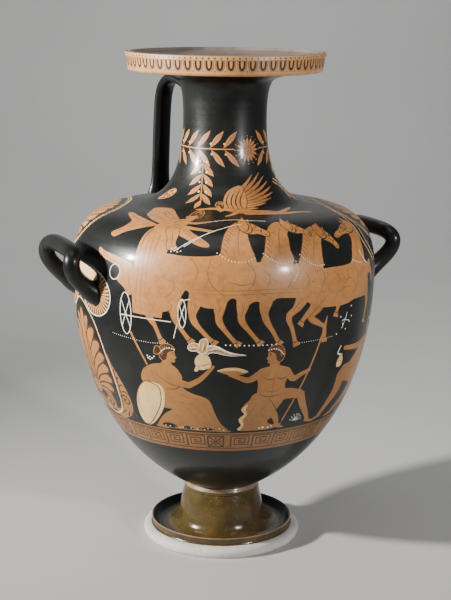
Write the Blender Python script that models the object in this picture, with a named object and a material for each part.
"""Red-figure hydria: a wheel-thrown water jar with three handles.

One fired clay piece: a turned, hollow vessel on a flared foot, with two upturned side
handles and one strap handle behind the neck. The painting is colour and isn't raised.

Frame: metres, +Z up, origin on the vessel's axis on its underside.
-Y is the front, the side handles are at -X and +X, and the strap handle is behind, near +Y.
"""
import math

import bmesh
import bpy
from mathutils import Vector

MM = 0.001

# ---- driving sizes -----------------------------------------------------------------------
HEIGHT = 495.5 * MM
WALL = 6.0 * MM
TURN_STEPS = 44

# lip: a flat, overhanging disc with a thin bead round its top edge and a dished top
LIP_RADIUS = 98.0 * MM
LIP_BEAD_HEIGHT = 4.0 * MM
LIP_FACE_RADIUS = 97.2 * MM
LIP_LOW_RADIUS = 95.8 * MM
LIP_LOW_CORNER = 3.5 * MM
LIP_THICKNESS = 19.0 * MM
LIP_RIM_WIDTH = 4.5 * MM
LIP_DISH_STEP = 2.8 * MM
LIP_STEP_WIDTH = 1.2 * MM
LIP_EDGE_ROUND = 0.8 * MM
DISH_RADIUS = 47.0 * MM
DISH_DEPTH = 15.5 * MM

# neck
NECK_RADIUS = 41.2 * MM
NECK_WAIST_Z = 431.7 * MM
NECK_TOP_RADIUS = 46.0 * MM
NECK_TOP_Z = 466.5 * MM

# body: the shoulder turns into the neck with a soft hollow curve
SHOULDER_RADIUS = 79.2 * MM
SHOULDER_Z = 349.7 * MM
SHOULDER_SLOPE = 15.6
BELLY_RADIUS = 151.5 * MM
BELLY_Z = 281.9 * MM
BODY_FOOT_RADIUS = 36.8 * MM
BODY_FOOT_Z = 57.5 * MM
BODY_FOOT_SLOPE = 26.9

# how far each curve of the outline runs straight at its two ends
LOWER_PULLS = (77.9 * MM, 108.9 * MM)
SHOULDER_PULLS = (68.9 * MM, 28.9 * MM)
NECK_PULLS = (27.7 * MM, 46.7 * MM)
NECK_FLARE_PULLS = (14.0 * MM, 9.0 * MM)
LIP_UNDER_PULLS = (7.0 * MM, 24.0 * MM)
MOUTH_PULLS = (20.0 * MM, 10.0 * MM)
DISH_PULLS = (6.0 * MM, 18.0 * MM)
NECK_FLARE_SLOPE = 62.0
LIP_UNDER_SLOPE = 4.0
MOUTH_SLOPE = 35.0
DISH_SLOPE = 18.0

# foot: a flared stem with a fillet ring, in a grooved disc on a plain rounded base ring
FILLET_RADIUS = 38.9 * MM
FILLET_Z = 51.4 * MM
STEM_TOP_RADIUS = 38.3 * MM
STEM_TOP_Z = 50.4 * MM
STEM_WAIST_RADIUS = 43.6 * MM
STEM_WAIST_Z = 25.0 * MM
STEM_FLARE_RADIUS = 55.0 * MM
GROOVE_RADIUS = 60.5 * MM
GROOVE_Z = 10.3 * MM
DISC_RIM_RADIUS = 72.6 * MM
DISC_RIM_Z = 18.6 * MM
DISC_RIM_WIDTH = 1.8 * MM
DISC_WAIST_RADIUS = 71.6 * MM
BASE_TOP_RADIUS = 73.2 * MM
BASE_TOP_Z = 10.9 * MM
BASE_RADIUS = 80.7 * MM
BASE_MIDDLE_Z = 5.5 * MM
REST_OUTER_RADIUS = 78.0 * MM
REST_INNER_RADIUS = 66.0 * MM
FOOT_HOLLOW_Z = 46.0 * MM
FOOT_HOLLOW_RADIUS = 25.0 * MM
FOOT_HOLLOW_CORNER = 3.0 * MM
REST_STEP = (1.0 * MM, 2.2 * MM)

# side handles: round bars whose loops rise and lean back towards the body.
# Each control point is (half spread, distance from the axis, height).
SIDE_BAR_RADIUS = 7.9 * MM
SIDE_ROOT_FLARE = 1.3
SIDE_ROOT_LENGTH = 0.16
SIDE_BAR_SIDES = 12
SIDE_RINGS = 25
SIDE_LEG = (
    (30.0 * MM, 140.0 * MM, 266.9 * MM),
    (33.5 * MM, 164.8 * MM, 283.4 * MM),
    (42.0 * MM, 176.4 * MM, 301.8 * MM),
    (38.0 * MM, 168.6 * MM, 313.8 * MM),
)
SIDE_TOP = (0.0, 168.0 * MM, 313.6 * MM)

# back handle: a strap with a ridge down its outer face, 12 degrees off the mid-line.
# Each control point is (distance from the axis, height).
BACK_TURN = math.radians(12.0)
STRAP_WIDTH = 20.5 * MM
STRAP_THICKNESS = 11.0 * MM
STRAP_RIDGE = 1.6 * MM
STRAP_RIDGE_ANGLE = 20.0
STRAP_ROOT_FLARE = 1.35
STRAP_ROOT_LENGTH = 0.14
STRAP_RINGS = 21
STRAP_PATH = (
    (33.0 * MM, 446.0 * MM),
    (58.0 * MM, 458.0 * MM),
    (86.0 * MM, 470.0 * MM),
    (109.0 * MM, 458.0 * MM),
    (112.5 * MM, 425.0 * MM),
    (114.5 * MM, 385.0 * MM),
    (116.0 * MM, 352.0 * MM),
    (117.0 * MM, 334.0 * MM),
)

# finishes: the key band, the lip's face and the foot's base ring aren't black
SHARP_EDGE = math.radians(40)
BLACK_GLOSS = ("black_gloss", (0.025, 0.027, 0.026), 0.25)
CLAY = ("reserved_clay", (0.56, 0.33, 0.20), 0.6)
CHALK = ("chalky_base", (0.50, 0.47, 0.42), 0.85)
KEY_BAND = (120.0 * MM, 143.0 * MM)


# ---- curves ------------------------------------------------------------------------------
def bezier(start, pull_start, pull_end, end, count):
    """Points along a cubic, without its start."""
    points = []
    for i in range(1, count + 1):
        t = i / count
        s = 1.0 - t
        points.append(tuple(s ** 3 * a + 3 * s * s * t * b + 3 * s * t * t * c + t ** 3 * d
                            for a, b, c, d in zip(start, pull_start, pull_end, end)))
    return points


def flow(start, start_angle, end, end_angle, pulls, count):
    """A cubic that leaves start and reaches end at the given angles above horizontal."""
    a = math.radians(start_angle)
    b = math.radians(end_angle)
    pull_start = (start[0] + pulls[0] * math.cos(a), start[1] + pulls[0] * math.sin(a))
    pull_end = (end[0] - pulls[1] * math.cos(b), end[1] - pulls[1] * math.sin(b))
    return bezier(start, pull_start, pull_end, end, count)


def ellipse_arc(centre, half_width, half_height, start_angle, end_angle, count):
    """Points along an elliptical arc in (radius, height), both ends included."""
    points = []
    for i in range(count + 1):
        a = math.radians(start_angle + (end_angle - start_angle) * i / count)
        points.append((centre[0] + half_width * math.cos(a), centre[1] + half_height * math.sin(a)))
    return points


def b_spline(controls, count):
    """Evenly spaced parameters along a clamped uniform cubic B-spline."""
    degree = 3
    spans = len(controls) - degree
    knots = [0.0] * degree + [float(k) for k in range(spans + 1)] + [float(spans)] * degree
    points = []
    for i in range(count):
        u = spans * i / (count - 1)
        k = min(int(u), spans - 1) + degree
        local = [Vector(controls[j]) for j in range(k - degree, k + 1)]
        for r in range(1, degree + 1):
            for j in range(degree, r - 1, -1):
                low = knots[j + k - degree]
                high = knots[j + 1 + k - r]
                w = (u - low) / (high - low)
                local[j] = local[j - 1].lerp(local[j], w)
        points.append(local[degree])
    return points


# ---- outlines, as (radius, height) -------------------------------------------------------
def foot_outline():
    """From the middle of the hollow under the foot out and up to the fillet ring's top."""
    points = [(0.0, FOOT_HOLLOW_Z), (FOOT_HOLLOW_RADIUS - FOOT_HOLLOW_CORNER, FOOT_HOLLOW_Z)]
    points.append((FOOT_HOLLOW_RADIUS, FOOT_HOLLOW_Z - FOOT_HOLLOW_CORNER))
    rest_step = (REST_INNER_RADIUS - REST_STEP[0], REST_STEP[1])
    points += bezier(points[-1], (29 * MM, 16 * MM), (46 * MM, 4 * MM), rest_step, 3)
    points += [(REST_INNER_RADIUS, 0.0), (REST_OUTER_RADIUS, 0.0)]
    under = BASE_RADIUS - REST_OUTER_RADIUS
    points += ellipse_arc((REST_OUTER_RADIUS, BASE_MIDDLE_Z), under, BASE_MIDDLE_Z, -60, 0, 2)
    over = BASE_RADIUS - BASE_TOP_RADIUS
    points += ellipse_arc((BASE_TOP_RADIUS, BASE_MIDDLE_Z), over, BASE_TOP_Z - BASE_MIDDLE_Z, 25, 90, 3)
    points.append((DISC_WAIST_RADIUS, BASE_TOP_Z + 2 * MM))
    points += [(DISC_RIM_RADIUS, DISC_RIM_Z - 1 * MM), (DISC_RIM_RADIUS - 0.4 * MM, DISC_RIM_Z)]
    points.append((DISC_RIM_RADIUS - DISC_RIM_WIDTH, DISC_RIM_Z - 0.3 * MM))
    points += bezier(points[-1], (68.5 * MM, 13 * MM), (65 * MM, 10.2 * MM), (GROOVE_RADIUS, GROOVE_Z), 3)
    points.append((STEM_FLARE_RADIUS, GROOVE_Z + 0.3 * MM))
    points += bezier(points[-1], (49 * MM, GROOVE_Z + 1.5 * MM), (45 * MM, 15 * MM),
                     (STEM_WAIST_RADIUS, STEM_WAIST_Z), 4)
    points += bezier(points[-1], (42.6 * MM, 33 * MM), (40.6 * MM, 42 * MM), (STEM_TOP_RADIUS, STEM_TOP_Z), 2)
    points.append((FILLET_RADIUS, FILLET_Z))
    return points


def body_curves(lower, shoulder, neck):
    """The vessel from the foot joint to the neck's waist, with the given counts of points."""
    foot = (BODY_FOOT_RADIUS, BODY_FOOT_Z)
    belly = (BELLY_RADIUS, BELLY_Z)
    turn = (SHOULDER_RADIUS, SHOULDER_Z)
    waist = (NECK_RADIUS, NECK_WAIST_Z)
    inward = 180.0 - SHOULDER_SLOPE
    points = [foot]
    points += flow(foot, BODY_FOOT_SLOPE, belly, 90.0, LOWER_PULLS, lower)
    points += flow(belly, 90.0, turn, inward, SHOULDER_PULLS, shoulder)
    points += flow(turn, inward, waist, 90.0, NECK_PULLS, neck)
    return points


def lip_outline():
    """From the neck's waist under the lip, round its face and in over its rim."""
    waist = (NECK_RADIUS, NECK_WAIST_Z)
    top = (NECK_TOP_RADIUS, NECK_TOP_Z)
    under_z = HEIGHT - LIP_THICKNESS
    under = (LIP_LOW_RADIUS - LIP_LOW_CORNER, under_z)
    bead_z = HEIGHT - LIP_BEAD_HEIGHT
    points = flow(waist, 90.0, top, NECK_FLARE_SLOPE, NECK_FLARE_PULLS, 3)
    points += flow(top, NECK_FLARE_SLOPE, under, LIP_UNDER_SLOPE, LIP_UNDER_PULLS, 4)
    points += ellipse_arc((under[0], under_z + LIP_LOW_CORNER), LIP_LOW_CORNER, LIP_LOW_CORNER, -50, 0, 2)
    points += [(LIP_FACE_RADIUS, bead_z - 0.5 * LIP_EDGE_ROUND), (LIP_RADIUS, bead_z)]
    points += [(LIP_RADIUS, HEIGHT - LIP_EDGE_ROUND), (LIP_RADIUS - LIP_EDGE_ROUND, HEIGHT)]
    return points


def hollow_outline():
    """The inside, from the middle of the floor up through the neck to the dished lip."""
    outer = body_curves(6, 6, 3)
    inner = []
    for i, (radius, z) in enumerate(outer):
        before = outer[max(i - 1, 0)]
        after = outer[min(i + 1, len(outer) - 1)]
        run = math.hypot(after[0] - before[0], after[1] - before[1])
        inner.append((radius - WALL * (after[1] - before[1]) / run,
                      z + WALL * (after[0] - before[0]) / run))
    mouth = (NECK_RADIUS - WALL, NECK_WAIST_Z)
    dish_low = (DISH_RADIUS, HEIGHT - DISH_DEPTH)
    rim = (LIP_RADIUS - LIP_RIM_WIDTH, HEIGHT)
    step = (rim[0] - LIP_STEP_WIDTH, HEIGHT - LIP_DISH_STEP)
    inner[-1] = mouth
    inner += flow(mouth, 90.0, dish_low, MOUTH_SLOPE, MOUTH_PULLS, 3)
    inner += flow(dish_low, MOUTH_SLOPE, step, DISH_SLOPE, DISH_PULLS, 2)
    inner.append(rim)
    return [(0.0, inner[0][1])] + inner


# ---- solids ------------------------------------------------------------------------------
def turned(name, outline):
    """A closed solid turned round Z. The outline starts and ends on the axis."""
    bm = bmesh.new()
    verts = [bm.verts.new((radius, 0.0, z)) for radius, z in outline]
    edges = [bm.edges.new(pair) for pair in zip(verts, verts[1:])]
    bmesh.ops.spin(bm, geom=verts + edges, cent=(0, 0, 0), axis=(0, 0, 1),
                   angle=2 * math.pi, steps=TURN_STEPS, use_merge=True)
    bmesh.ops.remove_doubles(bm, verts=bm.verts, dist=0.01 * MM)
    return solid(name, bm)


def swept(name, path, section_at, side_hint):
    """A bar along path. section_at(t) gives its outline as (across, outward) offsets."""
    bm = bmesh.new()
    rings = []
    side = side_hint.copy()
    for i, centre in enumerate(path):
        along = (path[min(i + 1, len(path) - 1)] - path[max(i - 1, 0)]).normalized()
        side = (side - along * side.dot(along)).normalized()
        outward = side.cross(along)
        section = section_at(i / (len(path) - 1))
        rings.append([bm.verts.new(centre + side * u + outward * v) for u, v in section])
    count = len(rings[0])
    for ring, following in zip(rings, rings[1:]):
        for k in range(count):
            m = (k + 1) % count
            bm.faces.new((ring[k], ring[m], following[m], following[k]))
    bm.faces.new(rings[0])
    bm.faces.new(rings[-1])
    return solid(name, bm)


def solid(name, bm):
    """The closed mesh as an object, with its faces pointing out."""
    bmesh.ops.recalc_face_normals(bm, faces=bm.faces)
    mesh = bpy.data.meshes.new(name)
    bm.to_mesh(mesh)
    bm.free()
    obj = bpy.data.objects.new(name, mesh)
    bpy.context.scene.collection.objects.link(obj)
    return obj


def root_flare(t, flare, length):
    """A swelling at both ends of a handle, where it is smoothed into the wall."""
    nearness = max(0.0, 1.0 - min(t, 1.0 - t) / length)
    return 1.0 + (flare - 1.0) * nearness ** 2


def side_handle(name, direction):
    """direction is -1 for the handle at -X and +1 for the one at +X."""
    leg = [Vector((direction * out, -spread, z)) for spread, out, z in SIDE_LEG]
    far_leg = [Vector((p.x, -p.y, p.z)) for p in reversed(leg)]
    top = Vector((direction * SIDE_TOP[1], SIDE_TOP[0], SIDE_TOP[2]))
    path = b_spline(leg + [top] + far_leg, SIDE_RINGS)

    def section(t):
        radius = SIDE_BAR_RADIUS * root_flare(t, SIDE_ROOT_FLARE, SIDE_ROOT_LENGTH)
        angles = [2 * math.pi * k / SIDE_BAR_SIDES for k in range(SIDE_BAR_SIDES)]
        return [(radius * math.cos(a), radius * math.sin(a)) for a in angles]

    return swept(name, path, section, Vector((0.0, 0.0, 1.0)))


def strap_section(flare):
    """An oval with a soft ridge along the middle of its outer face."""
    half_width = 0.5 * STRAP_WIDTH * flare
    half_thickness = 0.5 * STRAP_THICKNESS
    points = []
    for angle in (0, 28, 58, 78, 90, 102, 122, 152, 180, 215, 250, 290, 325):
        a = math.radians(angle)
        ridge = STRAP_RIDGE * max(0.0, 1.0 - abs(angle - 90) / STRAP_RIDGE_ANGLE)
        points.append((half_width * math.cos(a), half_thickness * math.sin(a) + ridge))
    return points


def back_handle(name):
    """The strap from the neck up, over and down to the shoulder."""
    bearing = Vector((-math.sin(BACK_TURN), math.cos(BACK_TURN), 0.0))
    across = Vector((math.cos(BACK_TURN), math.sin(BACK_TURN), 0.0))
    controls = [bearing * out + Vector((0.0, 0.0, z)) for out, z in STRAP_PATH]

    def section(t):
        return strap_section(root_flare(t, STRAP_ROOT_FLARE, STRAP_ROOT_LENGTH))

    return swept(name, b_spline(controls, STRAP_RINGS), section, across)


def add_boolean(target, other, operation):
    """Join other to target, or cut it out, and keep it as a guide."""
    other.hide_render = True
    other.display_type = 'WIRE'
    modifier = target.modifiers.new(other.name, 'BOOLEAN')
    modifier.operation = operation
    modifier.solver = 'EXACT'
    modifier.object = other


def material(name, colour, roughness):
    """A plain fired-clay finish."""
    mat = bpy.data.materials.new(name)
    mat.use_nodes = True
    shader = mat.node_tree.nodes["Principled BSDF"]
    shader.inputs["Base Color"].default_value = (*colour, 1.0)
    shader.inputs["Roughness"].default_value = roughness
    shader.inputs["Metallic"].default_value = 0.0
    return mat


def paint_bands(vessel):
    """Black gloss all over, but for the key band, the lip's face and the base ring."""
    for finish in (BLACK_GLOSS, CLAY, CHALK):
        vessel.data.materials.append(material(*finish))
    face_band = (HEIGHT - LIP_THICKNESS, HEIGHT - LIP_BEAD_HEIGHT)
    for polygon in vessel.data.polygons:
        radius = math.hypot(polygon.center.x, polygon.center.y)
        z = polygon.center.z
        on_lip_face = radius > LIP_LOW_RADIUS - LIP_LOW_CORNER and face_band[0] < z < face_band[1]
        on_base = radius > REST_INNER_RADIUS and z < BASE_TOP_Z
        if on_lip_face or KEY_BAND[0] < z < KEY_BAND[1]:
            polygon.material_index = 1
        elif on_base:
            polygon.material_index = 2


def build_hydria():
    """The turned vessel with its handles joined on and its hollow cut out."""
    outer = foot_outline() + body_curves(10, 9, 6) + lip_outline() + [(0.0, HEIGHT)]
    vessel = turned("hydria", outer)
    paint_bands(vessel)
    add_boolean(vessel, side_handle("left_handle_bar", -1), 'UNION')
    add_boolean(vessel, side_handle("right_handle_bar", 1), 'UNION')
    add_boolean(vessel, back_handle("back_handle_strap"), 'UNION')
    over_mouth = HEIGHT + 10 * MM
    hollow = hollow_outline()
    hollow += [(hollow[-1][0], over_mouth), (0.0, over_mouth)]
    add_boolean(vessel, turned("hollow", hollow), 'DIFFERENCE')
    vessel.data.shade_smooth()
    vessel.data.set_sharp_from_angle(angle=SHARP_EDGE)


def clear_scene():
    """Start from an empty scene."""
    for obj in list(bpy.data.objects):
        bpy.data.objects.remove(obj, do_unlink=True)


clear_scene()
build_hydria()
